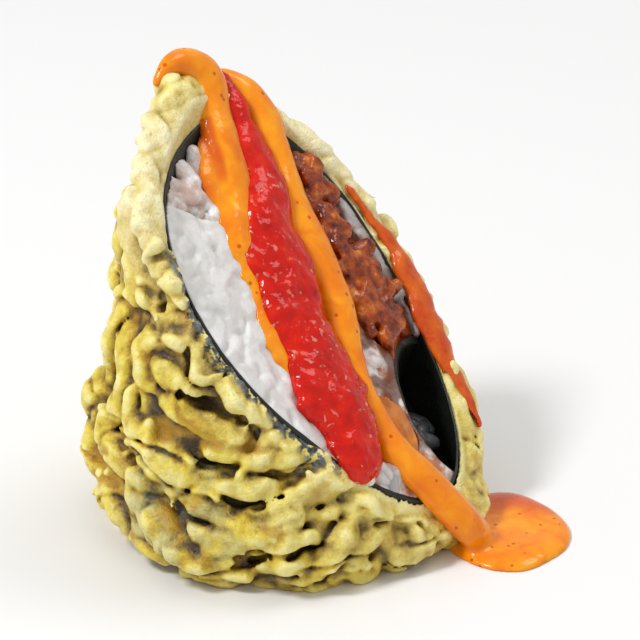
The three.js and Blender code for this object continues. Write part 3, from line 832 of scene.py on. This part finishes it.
def thinned(piece, triangles):
    """The piece with a given number of triangles, fewest where it is flat, as on its hidden inner wall."""
    thinning = piece.modifiers.new("thinning", "DECIMATE")
    thinning.ratio = triangles / (2 * len(piece.data.polygons))
    graph = bpy.context.evaluated_depsgraph_get()
    mesh = bpy.data.meshes.new_from_object(piece.evaluated_get(graph), preserve_all_data_layers=True,
                                           depsgraph=graph)
    piece.modifiers.clear()
    piece.data = mesh


def crust_looks(field, points):
    """What the batter's material reads at each point."""
    x, y, z = points.T
    fine = field.sample(field.blurred(2), points)
    broad = field.sample(field.blurred(6), points)
    bearing = np.degrees(np.arctan2(y, x))
    rise = above_cut(x, z)
    upper_left = np.maximum(smooth_step(-108, -128, bearing), smooth_step(78, 112, bearing))
    apex = smooth_step(47, 50.5, z)
    # Painted shade: darker near the plate and in a patch on the middle of the front.
    painted_crust_shade = np.maximum(1.2 * smooth_step(8, 1, z),
                        1.3 * np.exp(-((bearing + 95) / 18) ** 2 - ((z - 21) / 8) ** 2))
    lower_left = np.exp(-((bearing + 104) / 30) ** 2 - ((z - 8) / 7) ** 2)
    thin = (1 - smooth_step(0.85, 1.7, from_wall(x, y))) * smooth_band(*FILM_BEARINGS, 14, bearing)
    return dict(
        # ridge: high on crests, low in hollows and creases, which the material paints darker as shade;
        # lowered further by the painted shade above.
        ridge=np.clip(0.48 + fine * 1.7 + (broad - 0.15) * 0.6 - 0.15 * painted_crust_shade, 0, 1),
        thin=thin * smooth_step(-4.2, -2.0, rise),
        pale=np.clip(smooth_step(-6.0, -1.0, rise) * (0.2 + 0.7 * upper_left) - 0.6 * apex, 0, 1),
        olive=np.clip(0.25 + 0.8 * lower_left - 0.5 * upper_left, 0, 1),
    )


def make_crust():
    field = crust_field()
    points, faces = largest_part(*field.surface())
    looks = crust_looks(field, points)
    points = push_out(points, faces, 0.05 * noise(points, 0.6, 8))
    thinned(make_piece("crust", points, faces, batter_material(), "fried_batter", ["batter"], looks),
            CRUST_TRIANGLES)


# ---------------------------------------------------------------- nori

NORI_INSET = 0.06  # from the roll's wall to the outside of the sheet
NORI_ROWS = 26
NORI_COLUMNS = 300
FLAP_PITCH = 0.22


def make_nori(material):
    """The sheet round the rice, as outer and inner rings that follow the slant of the cut."""
    bearing = np.degrees(2 * np.pi * np.arange(NORI_COLUMNS) / NORI_COLUMNS)
    angle = np.radians(bearing)
    rings = []
    for inset, first, last in ((NORI_INSET, 0, 1), (NORI_INSET + NORI_THICKNESS, 1, 0)):
        for part in np.linspace(first, last, NORI_ROWS):
            radius = roll_radius(bearing) - inset
            x, y = radius * np.cos(angle), radius * np.sin(angle)
            top = cut_z(x) + 0.04 + 0.12 * noise(np.stack([x, y, 0 * x], axis=1), 2.6, 31)
            z = ROLL_BOTTOM + (top - ROLL_BOTTOM) * part
            radius = radius + 0.05 * noise(np.stack([x, y, z], axis=1), 2.0, 32)
            rings.append(np.stack([radius * np.cos(angle), radius * np.sin(angle), z], axis=1))
    here = np.arange(len(rings) * NORI_COLUMNS).reshape(len(rings), NORI_COLUMNS)
    after = np.roll(here, -1, axis=1)
    faces = np.stack([here, after, np.roll(after, -1, axis=0), np.roll(here, -1, axis=0)], axis=2)
    make_piece("nori_sheet", np.vstack(rings), faces.reshape(-1, 4), material, "nori_sheet", ["nori"])


def oval_axes(oval, x, y):
    """Distances from an oval's middle along it and across it."""
    turn = math.radians(oval["turn"])
    along = (x - oval["x"]) * math.cos(turn) + (y - oval["y"]) * math.sin(turn)
    across = (y - oval["y"]) * math.cos(turn) - (x - oval["x"]) * math.sin(turn)
    return along, across


def from_oval(oval, x, y):
    """Distance outside an upright oval column, negative inside, near enough for soft shapes."""
    along, across = oval_axes(oval, x, y)
    return (np.hypot(along / oval["long"], across / oval["short"]) - 1) * oval["short"]


def in_pocket(field):
    """Distance from the hollow that runs in from the cut face, under the filling, to the sheet."""
    depth = -above_cut(field.x, field.z)
    x = field.x - POCKET_LEAN[0] * depth
    y = field.y - POCKET_LEAN[1] * depth
    hollow = from_oval(POCKET, x, y) * POCKET_SQUEEZE
    hollow = np.maximum(hollow, depth - POCKET_DEPTH)
    return np.maximum(hollow, POCKET_FLOOR - field.z)


def make_flap(material):
    """The sheet's inner end, curled in as a lining of the hollow."""
    field = Field((-4, 0, 4), (18, 18.5, 26), FLAP_PITCH)
    field.d = np.abs(in_pocket(field) - 0.05).astype(np.float32) - 0.24
    field.roughen(0.08, 1.8, 33)
    index, points = field.near(2)
    torn = np.zeros_like(field.d)
    torn[index] = 0.9 * noise(points, 4.0, 34)
    field.keep(above_cut(field.x, field.z) + 0.9 + torn)
    field.keep(from_wall(field.x, field.y) + NORI_DEPTH + 0.1)
    make_piece("nori_flap", *largest_part(*field.surface()), material, "nori_sheet")


# ---------------------------------------------------------------- rice

GRAIN_LENGTH = 5.2
GRAIN_WIDTH = 2.5
GRAIN_SPACING = 2.5
RICE_PITCH = 0.28
# The rice above this line on the near side has dropped a little: it runs from one (u, v) to the other.
DROP_LINE = ((-18.6, -11.0), (-11.2, -2.8))
DROP_DEPTH = 1.5
# The left strand's middle lies where v + STRAND_START + STRAND_SLOPE * u is 0.
STRAND_START = 9.7
STRAND_SLOPE = 0.565
CLUMP_GRAINS = 110


def dropped(u, v):
    """1 where the rice has dropped, at the top of the face as far as the left strand, 0 elsewhere."""
    (u0, v0), (u1, v1) = DROP_LINE
    side = (u - u0) * (v1 - v0) - (v - v0) * (u1 - u0)
    above = smooth_step(0.3, -0.3, side / math.hypot(u1 - u0, v1 - v0))
    return above * smooth_step(0.6, -0.6, v + STRAND_START + STRAND_SLOPE * u)


def lay_grain(field, middle, half, thick, blend):
    """A grain on the cut face from middle - half to middle + half, both in (u, v, w)."""
    field.rod(on_cut(*(middle - half)), on_cut(*(middle + half)), (thick, thick), blend=blend)


def add_rows(field, draw):
    """Grains side by side over the whole cut, lying every way."""
    half = (GRAIN_LENGTH - GRAIN_WIDTH) / 2
    reach = ROLL_RADIUS / COS
    for u in np.arange(-reach, reach, GRAIN_SPACING):
        for v in np.arange(-ROLL_RADIUS, ROLL_RADIUS, GRAIN_SPACING):
            lean = draw.uniform(0, math.pi)
            tip = draw.uniform(-0.9, 0.9)
            at = np.array([u, v]) + draw.uniform(-0.7, 0.7, 2)
            w = draw.uniform(-1.25, -0.80) - DROP_DEPTH * float(dropped(at[0], at[1]))
            way = np.array([half * math.cos(lean), half * math.sin(lean), 0.4 * tip])
            lay_grain(field, np.array([*at, w]), way, GRAIN_WIDTH / 2 * draw.uniform(0.9, 1.1), 0.22)


def add_clumps(field, draw):
    """Grains that stand up in the dropped rice."""
    for _ in range(CLUMP_GRAINS):
        u, v = draw.uniform(-24, -12), draw.uniform(-12, 4)
        if dropped(u, v) < 0.6:
            continue
        lean = draw.uniform(0, math.pi)
        w = -DROP_DEPTH + draw.uniform(-0.5, 0.7)
        way = np.array([1.2 * math.cos(lean), 1.2 * math.sin(lean), draw.uniform(-0.4, 0.4)])
        lay_grain(field, np.array([u, v, w]), way, draw.uniform(0.65, 0.95), 0.3)


def rice_looks(points):
    """Stains from the sauces and the foot, painted shade on the far side where the rice lies in shadow, and
    the filling's glaze, at each point.
    """
    y = points[:, 1]
    u = down_cut(points[:, 0], points[:, 2])
    stain = smooth_step(-9.5, -5.0, y + 0.25 * u) * 0.9
    stain = np.maximum(stain, 0.5 * dropped(u, y))
    stain = np.maximum(stain, smooth_step(19, 23, u) * 0.6)
    # Painted shade: the far side's rice is greyed where it lies in shadow.
    painted_shade = smooth_step(10.5, 13.0, y) * smooth_step(-14, -6, u) * 0.42
    glaze = smooth_step(-1.0, 4.0, u) * smooth_step(0.5, 2.5, y - 0.02 * u * u + 0.35 * u)
    glaze = glaze * smooth_step(0.40, 0.50, 0.5 + 0.35 * noise(points, 2.2, 26)) * 0.85
    return dict(stain=stain, painted_shade=painted_shade, glaze=glaze)


def make_rice_core(material):
    field = Field((-17.5, -18.5, 3), (18.5, 17.5, 49), RICE_PITCH)
    draw = np.random.default_rng(23)
    rise = above_cut(field.x, field.z)
    drop = DROP_DEPTH * dropped(down_cut(field.x, field.z), field.y)
    field.d = np.broadcast_to(rise + 0.35 + drop, field.d.shape).astype(np.float32)
    add_rows(field, draw)
    index, points = field.near(2)
    waver = np.zeros_like(field.d)
    waver[index] = 0.16 * noise(points, 3.0, 24)
    field.keep(rise + 0.6 * waver + drop + 0.02)
    add_clumps(field, draw)
    field.carve(WHOLE, in_pocket(field) - 0.1, 0.4)
    for oval in (FILLING, FILLING_HEAD, STRIP):
        field.keep(-(from_oval(oval, field.x, field.y) - 0.2))
    field.roughen(0.07, 2.2, 25)
    field.keep(from_wall(field.x, field.y) + NORI_DEPTH)
    field.keep(ROLL_BOTTOM - field.z)
    points, faces = largest_part(*field.surface())
    make_piece("rice_core", points, faces, material, "sushi_rice", ["rice"], rice_looks(points))


def grain_shape(rings=9, sides=10):
    """Points and faces of one cooked grain along x, blunt at both ends and slightly bent."""
    points = []
    for ring in range(1, rings):
        turn = math.pi * ring / rings
        along = -math.cos(turn)
        girth = math.sin(turn) ** 0.8
        for side in range(sides):
            angle = 2 * math.pi * side / sides
            bend = 0.22 * (1 - along * along)
            points.append((along, girth * math.cos(angle) + bend, girth * math.sin(angle)))
    first, last = len(points), len(points) + 1
    points += [(-1, 0, 0), (1, 0, 0)]
    faces = []
    for side in range(sides):
        after = (side + 1) % sides
        faces.append((first, after, side, side))
        end = (rings - 2) * sides
        faces.append((last, end + side, end + after, end + after))
        for ring in range(rings - 2):
            base = ring * sides
            faces.append((base + side, base + after, base + sides + after, base + sides + side))
    return np.array(points), [tuple(dict.fromkeys(face)) for face in faces]


# Loose grains: u, v, w of the middle, lean in the face, tip out of it (degrees), painted shade (dark grey
# where the grain lies in shadow, as in the hollow).
LOOSE_GRAINS = (
    (-17.6, -7.2, -1.9, 40, 15, 0.05), (-16.4, -5.0, -1.9, 75, 10, 0.05), (-14.6, -5.2, -1.7, 10, 20, 0.0),
    (-19.4, -5.2, -2.0, 20, 10, 0.10),
    (20.3, -6.0, -0.2, 20, 20, 0.1), (21.4, -4.8, -0.1, 70, 15, 0.2), (22.4, -3.8, -0.2, 110, 5, 0.3),
    (20.8, -7.0, -0.4, 45, 10, 0.1), (22.8, -5.0, -0.6, 150, 25, 0.4), (19.2, -8.6, -0.4, 10, 10, 0),
    (17.6, 6.4, -4.4, 80, 30, 0.93), (19.4, 7.0, -4.0, 20, 20, 0.96), (20.9, 7.6, -3.8, 60, 10, 0.94),
    (20.0, 9.2, -4.8, 120, 0, 0.98), (18.0, 9.0, -5.4, 40, 30, 0.97), (18.8, 10.8, -5.8, 10, 35, 0.98),
    (4.4, 14.6, -0.9, 60, 20, 0.35),
    (9.6, 3.6, -0.5, 60, 10, 0.05),
)
LOOSE_SIZE = (4.3, 2.1, 1.9)


def make_grains(material):
    shape, shape_faces = grain_shape()
    draw = np.random.default_rng(41)
    points, faces, stains, painted_shades = [], [], [], []
    for u, v, w, lean, tip, painted_shade in LOOSE_GRAINS:
        lean, tip = math.radians(lean), math.radians(tip)
        size = np.array(LOOSE_SIZE) / 2 * draw.uniform(0.82, 1.1)
        along = np.array([math.cos(lean) * math.cos(tip), math.sin(lean) * math.cos(tip), math.sin(tip)])
        side = np.array([-math.sin(lean), math.cos(lean), 0])
        local = (shape * size) @ np.array([along, side, np.cross(along, side)]) + [u, v, w]
        spots = on_cut(*local.T).T
        spots = spots + 0.26 * np.stack([noise(spots, 1.7, 42 + i) for i in range(3)], axis=1)
        base = len(points) * len(shape)
        points.append(spots)
        faces += [tuple(base + i for i in face) for face in shape_faces]
        stains += [draw.uniform(0.1, 0.7)] * len(shape)
        # Painted shade: the grains in the shadowed hollow are dark grey.
        painted_shades += [painted_shade] * len(shape)
    looks = dict(stain=stains, painted_shade=painted_shades, glaze=np.zeros(len(painted_shades)))
    make_piece("rice_grains", np.vstack(points), faces, material, "sushi_rice", (), looks)


# ---------------------------------------------------------------- fillings

CHOPPED_BITS = ((FILLING, 46), (FILLING_HEAD, 34))
FILLING_PITCH = 0.28
STRIP_PITCH = 0.25


def make_filling():
    field = Field((-14, 4, 3), (10.5, 17, 45), FILLING_PITCH)
    draw = np.random.default_rng(51)
    column = np.minimum(from_oval(FILLING, field.x, field.y), from_oval(FILLING_HEAD, field.x, field.y))
    rise = above_cut(field.x, field.z)
    field.d = np.maximum(column, rise + 0.7).astype(np.float32)
    for oval, count in CHOPPED_BITS:
        turn = math.radians(oval["turn"])
        for _ in range(count):
            spin = draw.uniform(0, 2 * math.pi)
            part = math.sqrt(draw.uniform(0, 1)) * 0.88
            along = part * oval["long"] * math.cos(spin)
            across = part * oval["short"] * math.sin(spin)
            x = oval["x"] + along * math.cos(turn) - across * math.sin(turn)
            y = oval["y"] + along * math.sin(turn) + across * math.cos(turn)
            bit = np.array([x, y, cut_z(x) + draw.uniform(-1.0, 0.7)])
            way = draw.uniform(-1.1, 1.1, 3)
            size = draw.uniform(0.7, 1.3)
            field.rod(bit - way, bit + way, (size, size * 0.8), blend=0.6)
    field.roughen(0.14, 1.5, 52)
    field.roughen(0.30, 4.0, 53)
    field.keep(from_wall(field.x, field.y) + NORI_DEPTH)
    field.keep(rise - 1.2)
    field.carve(WHOLE, in_pocket(field) - 0.1, 0.6)
    field.keep(ROLL_BOTTOM - field.z)
    surface = largest_part(*field.surface())
    make_piece("filling", *surface, filling_material(), "chopped_filling", ["filling_chopped"])


def make_strip():
    field = Field((7.5, -2.5, 3), (15, 5, 21), STRIP_PITCH)
    rise = above_cut(field.x, field.z)
    field.d = np.maximum(from_oval(STRIP, field.x, field.y), rise - 0.3).astype(np.float32)
    field.ball(on_cut(down_cut(STRIP["x"], cut_z(STRIP["x"])), STRIP["y"], -1.2), 1.9, 0.8)
    field.roughen(0.16, 2.2, 61)
    field.keep(ROLL_BOTTOM - field.z)
    surface = largest_part(*field.surface())
    make_piece("strip", *surface, strip_material(), "filling_strip", ["filling_strip"])


# ---------------------------------------------------------------- sauces

ORANGE_PITCH = 0.26
RED_PITCH = 0.25
# Routes on the cut face: u, v, w of the middle, half-width, half-height.
ORANGE_LEFT = ((-31.0, -1.0, -0.2, 0.35, 0.4), (-31.7, 0.2, 0.5, 0.6, 0.6), (-32.0, 1.7, 1.0, 1.0, 0.9),
               (-31.4, 3.8, 1.1, 1.5, 1.2), (-29.8, 5.6, 0.9, 1.9, 1.4), (-28.0, 5.9, 0.6, 2.1, 1.4),
               (-26.2, 5.0, 0.2, 2.1, 1.4), (-22.6, 3.2, 0.1, 2.1, 1.5), (-18.7, 1.6, 0.1, 2.1, 1.4),
               (-15.0, -0.3, 0.0, 2.0, 1.2), (-12.2, -2.8, 0.0, 1.7, 1.0), (-9.6, -4.4, 0.0, 1.4, 0.8))
ORANGE_FILM = ((-20.4, 0.9, -0.3, 1.7, 0.5), (-18.0, -0.2, -0.3, 2.2, 0.5),
               (-15.6, -1.0, -0.25, 2.3, 0.5), (-12.0, -2.8, -0.15, 2.0, 0.5),
               (-7.4, -4.8, -0.15, 1.7, 0.42), (-2.0, -6.6, -0.2, 1.5, 0.38),
               (3.0, -8.2, -0.2, 1.3, 0.38), (5.6, -9.2, -0.3, 0.8, 0.35))
RED_STRAND = ((-29.2, 9.4, -0.6, 0.8, 0.8), (-25.4, 8.4, 0.4, 1.2, 1.1), (-20.5, 6.2, 0.6, 2.0, 1.3),
              (-16.0, 4.8, 0.5, 2.4, 1.4), (-12.5, 2.4, 0.4, 2.9, 1.6), (-9.0, 0.2, 0.3, 3.6, 1.7),
              (-5.0, -1.6, 0.3, 4.2, 1.8), (0.0, -3.0, 0.3, 3.8, 1.7), (6.0, -4.6, 0.3, 3.9, 1.8),
              (10.5, -6.2, 0.3, 4.3, 1.9), (14.6, -6.9, 0.3, 3.8, 1.8), (18.0, -8.0, 0.2, 2.2, 1.4))
ORANGE_RIGHT = ((-28.0, 10.2, -0.8, 1.1, 1.0), (-25.0, 11.2, 0.1, 1.7, 1.3), (-21.4, 11.4, 0.2, 2.1, 1.4),
                (-18.5, 10.2, 0.1, 1.9, 1.4), (-15.3, 9.2, 0.1, 1.8, 1.4), (-11.5, 7.4, 0.1, 1.9, 1.4),
                (-7.2, 6.3, 0.1, 2.4, 1.5), (-4.0, 5.6, 0.1, 2.3, 1.5), (-0.5, 4.8, 0.1, 1.9, 1.4),
                (2.7, 3.4, 0.1, 2.0, 1.4), (7.3, 0.9, 0.0, 1.7, 1.3), (12.2, -1.0, 0.0, 1.6, 1.3),
                (17.4, -1.9, 0.2, 1.6, 1.4), (20.2, -2.1, 0.5, 2.0, 1.4), (23.6, -1.3, 0.8, 2.1, 1.4),
                (27.2, -0.4, 0.9, 2.1, 1.3))
# The tongue from the lip down to the plate: x, y, z, half-width, half-height.
TONGUE = ((18.6, -0.4, 6.9, 2.1, 1.3), (19.7, 0.3, 5.5, 2.1, 1.4), (20.6, 1.1, 4.1, 2.1, 1.4),
          (21.2, 1.9, 2.9, 2.1, 1.4), (21.4, 2.6, 2.1, 2.0, 1.3))
POOL = dict(x=22.3, y=7.8, long=10.1, short=7.1, turn=-58, height=1.25)
RIM_STREAK = ((-9.4, 16.9, 0.35, 0.3, 0.3), (-5.0, 17.5, 0.4, 0.45, 0.35), (-1.0, 17.9, 0.4, 0.8, 0.4),
              (2.6, 17.6, 0.4, 1.1, 0.5), (5.0, 17.1, 0.35, 1.35, 0.55), (8.1, 16.3, 0.35, 1.45, 0.55),
              (11.0, 15.4, 0.35, 1.3, 0.5), (13.8, 14.7, 0.35, 1.15, 0.5), (16.6, 14.3, 0.3, 0.95, 0.45),
              (19.4, 13.9, 0.3, 0.7, 0.45), (22.6, 13.4, 0.2, 0.5, 0.4))


def face_strand(field, route, draw, wobble, blend=0.5):
    """A flattened strand along the cut face, its width uneven by `wobble`."""
    rows = smooth_route(route)
    spots = [on_cut(*row[:3]) for row in rows]
    uneven = 1 + wobble * draw.uniform(-1, 1, len(rows))
    for i in range(len(rows) - 1):
        wide = (rows[i, 3] * uneven[i], rows[i + 1, 3] * uneven[i + 1])
        field.rod(spots[i], spots[i + 1], wide, (rows[i, 4], rows[i + 1, 4]), CUT_NORMAL, blend)


def add_pool(field):
    """The flat pool at the foot, round-edged and a little uneven in outline."""
    along, across = oval_axes(POOL, field.x, field.y)
    swell = 1 + 0.05 * np.sin(along * 0.4 + 1.0)
    flat = np.hypot(along / (POOL["long"] * swell), across / (POOL["short"] * swell))
    shape = (np.sqrt(flat ** 5 + (field.z / POOL["height"]) ** 2) - 1) * POOL["height"]
    field.join(WHOLE, shape.astype(np.float32), 0.9)


def reddened(points):
    """How far red sauce has run into the orange: at the pool's far end and along the left strand's edge."""
    x, y, z = points.T
    red = smooth_step(2.2, 1.4, z) * smooth_step(9, 15, y - 0.5 * (x - 22)) * 0.8
    u = down_cut(x, z)
    strand = ORANGE_LEFT[5:]
    middle = np.interp(u, [row[0] for row in strand], [row[1] for row in strand])
    edge = smooth_step(1.5, 2.3, middle - y) * smooth_step(-28, -24, u) * smooth_step(-14, -19, u)
    return np.maximum(red, edge * smooth_step(-0.3, 0.4, noise(points, 2.4, 73)) * 0.8)


def make_orange():
    field = Field((-25, -12.5, -0.4), (32, 19.5, 57), ORANGE_PITCH)
    draw = np.random.default_rng(71)
    face_strand(field, ORANGE_LEFT, draw, 0.05)
    face_strand(field, ORANGE_FILM, draw, 0.35, 0.3)
    face_strand(field, ORANGE_RIGHT, draw, 0.08)
    rows = smooth_route(TONGUE)
    for a, b in zip(rows, rows[1:]):
        field.rod(a[:3], b[:3], (a[3], b[3]), (a[4], b[4]), CUT_NORMAL, 0.4)
    add_pool(field)
    field.roughen(0.12, 4.4, 72)
    field.keep(-field.z)
    points, faces = field.surface()
    looks = dict(red=reddened(points))
    make_piece("sauce_orange", points, faces, orange_material(), "orange_sauce", (), looks)


def make_red():
    field = Field((-22.5, -15, 6), (18, 13.5, 56), RED_PITCH)
    face_strand(field, RED_STRAND, np.random.default_rng(81), 0.14, 0.6)
    field.roughen(0.34, 3.2, 82)
    field.roughen(0.12, 1.2, 83)
    points, faces = field.surface()
    points = push_out(points, faces, 0.05 * noise(points, 0.8, 84))
    make_piece("sauce_red", points, faces, red_material(), "red_sauce")


def make_streak():
    field = Field((-8, 13, 6), (18, 22, 36), RED_PITCH)
    face_strand(field, RIM_STREAK, np.random.default_rng(91), 0.25, 0.4)
    field.roughen(0.18, 1.8, 92)
    make_piece("sauce_streak", *field.surface(), streak_material(), "red_sauce")


# ---------------------------------------------------------------- floor, light and camera

VIEW_AZIMUTH = 33
VIEW_ELEVATION = 25
AIM = Vector((1.0, 0.6, 25.0)) * MM
FRAME_WIDTH = 74 * MM
LENS = 240
SENSOR = 36
FLOOR_HALF = 3.0
WORLD_COLOUR = (1.0, 0.99, 0.97, 1)
WORLD_STRENGTH = 0.63
LIGHT_DISTANCE = 0.6
# Name, azimuth, elevation, diameter and power of each light.
LIGHTS = (("key", VIEW_AZIMUTH - 66, 52, 0.14, 2.05), ("top", VIEW_AZIMUTH + 120, 60, 0.30, 0.8))


def make_floor():
    mesh = bpy.data.meshes.new("floor")
    corners = [(FLOOR_HALF * i, FLOOR_HALF * j, 0) for i, j in ((-1, -1), (1, -1), (1, 1), (-1, 1))]
    mesh.from_pydata(corners, [], [(0, 1, 2, 3)])
    mesh.materials.append(floor_material())
    floor = add_object("floor", mesh)


def direction(azimuth, elevation):
    a, e = math.radians(azimuth), math.radians(elevation)
    return Vector((math.sin(a) * math.cos(e), -math.cos(a) * math.cos(e), math.sin(e)))


def point_at(thing, target):
    thing.rotation_euler = (target - thing.location).to_track_quat("-Z", "Y").to_euler()


def add_light(name, azimuth, elevation, size, power):
    light = bpy.data.lights.new(name, "AREA")
    light.shape = "DISK"
    light.size = size
    light.energy = power
    lamp = add_object(name, light)
    lamp.location = AIM + direction(azimuth, elevation) * LIGHT_DISTANCE
    point_at(lamp, AIM)


def make_stage():
    make_floor()
    world = bpy.data.worlds.new("studio")
    world.use_nodes = True
    background = world.node_tree.nodes["Background"]
    background.inputs["Color"].default_value = WORLD_COLOUR
    background.inputs["Strength"].default_value = WORLD_STRENGTH
    bpy.context.scene.world = world
    for light in LIGHTS:
        add_light(*light)
    camera = bpy.data.cameras.new("camera")
    camera.lens = LENS
    camera.sensor_width = SENSOR
    eye = add_object("camera", camera)
    eye.location = AIM + direction(VIEW_AZIMUTH, VIEW_ELEVATION) * (FRAME_WIDTH * LENS / SENSOR)
    point_at(eye, AIM)
    bpy.context.scene.camera = eye
    bpy.context.scene.view_settings.view_transform = "Standard"


make_stage()
make_crust()
sheet = nori_material()
make_nori(sheet)
make_flap(sheet)
rice = rice_material()
make_rice_core(rice)
make_grains(rice)
make_filling()
make_strip()
make_orange()
make_red()
make_streak()
